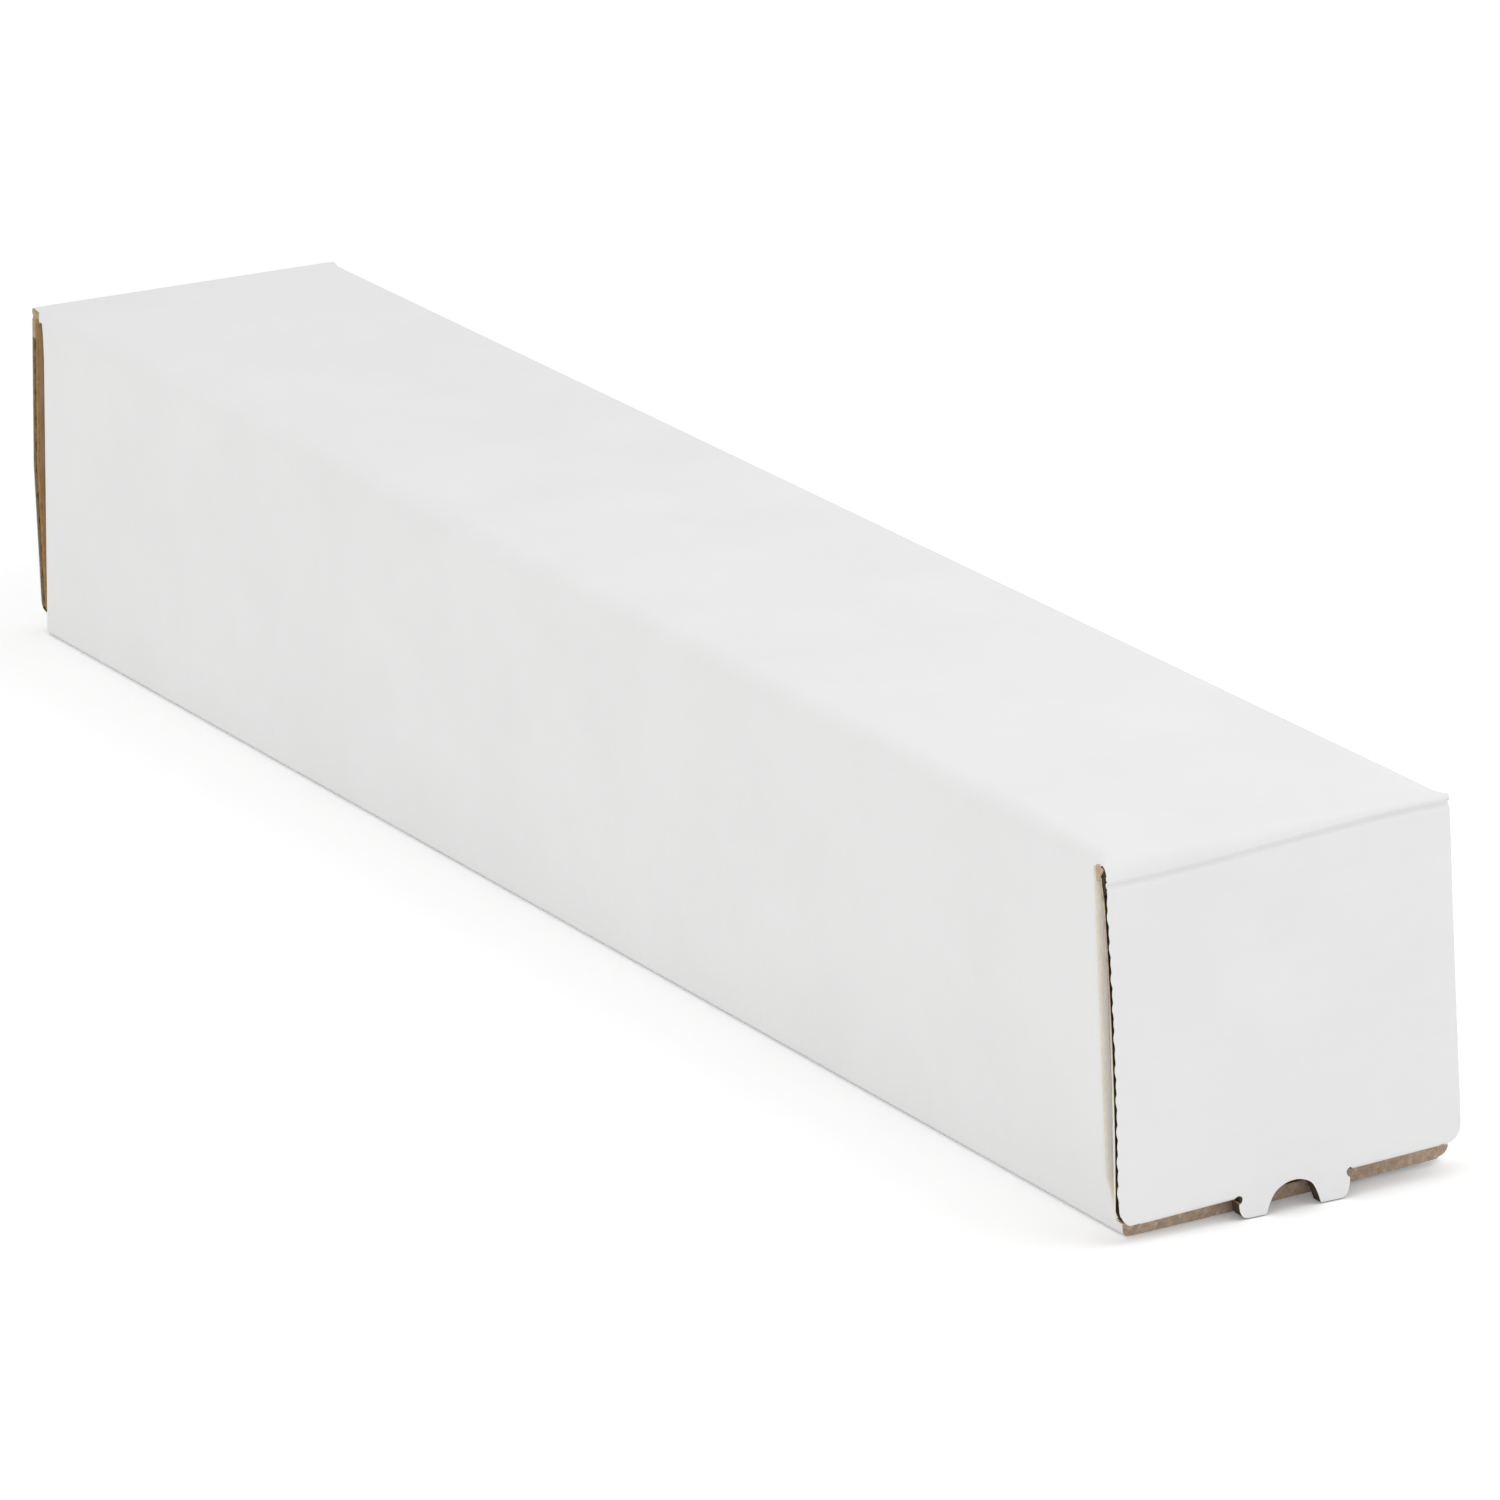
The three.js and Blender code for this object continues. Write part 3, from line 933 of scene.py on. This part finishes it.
closure = make_closure()
flutes = make_flutes()
far_closure = mirrored(closure, 0)
ripple(closure)
far_flutes = mirrored(flutes, 0)
near_hinge = make_hinge(1, FRONT_ROUND, BACK_ROUND, NEAR_FOLD_RADIUS)
far_hinge = make_hinge(-1, FAR_ROUND, FAR_ROUND, FAR_FOLD_RADIUS)

finish_piece(closure, "near_closure_board", "near_flap", closure_materials, closure_paint, near_warp,
             ["near_end_flap"])
finish_piece(flutes, "near_closure_flutes", "near_flap", [flute_paper], lambda centre, normal: 0, near_warp)
finish_piece(near_hinge, "near_crease", None, closure_materials, hinge_paint, near_warp)
finish_piece(far_closure, "far_closure_board", "far_flap", far_materials,
             paint_mirrored(closure_paint), far_warp, ["far_end_flap"])
finish_piece(far_flutes, "far_closure_flutes", "far_flap", [flute_paper], lambda centre, normal: 0, far_warp)
finish_piece(far_hinge, "far_crease", None, far_materials, paint_mirrored(hinge_paint), far_warp)

for end, piece, body in ((1, near_hinge, "near_flap"), (-1, far_hinge, "far_flap")):
    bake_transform(piece)


# Camera, from the photo's perspective, with its distances in millimetres
CAMERA_AZIMUTH = math.radians(62.04)
CAMERA_ELEVATION = math.radians(17.15)
CAMERA_ROLL = math.radians(-1.326)
CAMERA_RIGHT = -13.66
CAMERA_DOWN = 28.72
CAMERA_DISTANCE = 2447.6
FOCAL_PIXELS = 10737.0
PHOTO_PIXELS = 1500.0
SENSOR = 36.0


def make_camera():
    back = Vector((math.sin(CAMERA_AZIMUTH) * math.cos(CAMERA_ELEVATION),
                   -math.cos(CAMERA_AZIMUTH) * math.cos(CAMERA_ELEVATION), math.sin(CAMERA_ELEVATION)))
    level = Vector((0, 0, 1)).cross(back).normalized()
    upright = back.cross(level)
    right = math.cos(CAMERA_ROLL) * level + math.sin(CAMERA_ROLL) * upright
    up = math.cos(CAMERA_ROLL) * upright - math.sin(CAMERA_ROLL) * level
    place = -CAMERA_RIGHT * right + CAMERA_DOWN * up + CAMERA_DISTANCE * back
    data = bpy.data.cameras.new("camera")
    data.sensor_width = SENSOR
    data.lens = FOCAL_PIXELS / PHOTO_PIXELS * SENSOR
    data.clip_end = 50.0
    camera = bpy.data.objects.new("camera", data)
    turn = Matrix((right, up, back)).transposed().to_4x4()
    camera.matrix_world = Matrix.Translation(place * MM) @ turn
    bpy.context.scene.collection.objects.link(camera)
    bpy.context.scene.camera = camera


make_camera()


# Floor, lamps and surroundings. The floor and the world look white, and light the tube less than that.
FLOOR_GAP = 0.2
FLOOR_SIZE = 12.0
FLOOR_GLOW = 0.13
WORLD_LIGHT = 0.86
WORLD_SEEN = 1.0
WHITE = (1.0, 1.0, 1.0)


def make_floor():
    mesh = bpy.data.meshes.new("floor")
    corners = [(u * FLOOR_SIZE, v * FLOOR_SIZE) for u, v in ((-1, -1), (1, -1), (1, 1), (-1, 1))]
    mesh.from_pydata([(x, y, -FLOOR_GAP * MM) for x, y in corners], [], [(0, 1, 2, 3)])
    floor = link("floor", mesh)
    nodes = Nodes("floor_white")
    path = nodes.add("ShaderNodeLightPath")
    seen = nodes.math("MAXIMUM", path.outputs["Is Camera Ray"], path.outputs["Is Glossy Ray"])
    seen = nodes.math("MAXIMUM", seen, path.outputs["Is Transmission Ray"])
    nodes.shader.inputs["Base Color"].default_value = (*WHITE, 1)
    nodes.shader.inputs["Emission Color"].default_value = (*WHITE, 1)
    nodes.feed(nodes.shader, "Emission Strength", nodes.math("MULTIPLY", seen, FLOOR_GLOW))
    nodes.feed(nodes.shader, "Roughness", 1.0)
    nodes.shader.inputs["Specular IOR Level"].default_value = 0.0
    mesh.materials.append(nodes.material)


def make_world():
    world = bpy.data.worlds.new("studio")
    bpy.context.scene.world = world
    world.use_nodes = True
    tree = world.node_tree
    surface = tree.nodes["Background"]
    path = tree.nodes.new("ShaderNodeLightPath")
    either = tree.nodes.new("ShaderNodeMath")
    either.operation = "MAXIMUM"
    tree.links.new(path.outputs["Is Camera Ray"], either.inputs[0])
    tree.links.new(path.outputs["Is Glossy Ray"], either.inputs[1])
    strength = tree.nodes.new("ShaderNodeMapRange")
    tree.links.new(either.outputs[0], strength.inputs["Value"])
    strength.inputs["To Min"].default_value = WORLD_LIGHT
    strength.inputs["To Max"].default_value = WORLD_SEEN
    surface.inputs["Color"].default_value = (*WHITE, 1)
    tree.links.new(strength.outputs["Result"], surface.inputs["Strength"])


def make_lamp(name, place, aim, size, power, colour):
    data = bpy.data.lights.new(name, "AREA")
    data.size = size
    data.energy = power
    data.color = colour
    lamp = bpy.data.objects.new(name, data)
    lamp.location = place
    lamp.rotation_euler = (Vector(aim) - Vector(place)).to_track_quat("-Z", "Y").to_euler()
    bpy.context.scene.collection.objects.link(lamp)


make_floor()
make_world()
make_lamp("key", (0.36, 0.26, 0.72), aim=(0.2, 0, 0.05), size=0.5, power=0.95, colour=WHITE)
make_lamp("side_fill", (-0.1, -1.5, 0.15), aim=(0, 0, 0.02), size=1.2, power=1.9, colour=(1, 0.995, 0.91))
make_lamp("end_fill", (1.7, 0.1, 0.15), aim=(0.25, 0, 0.02), size=0.8, power=0.5, colour=WHITE)

bpy.context.scene.view_settings.view_transform = "Standard"
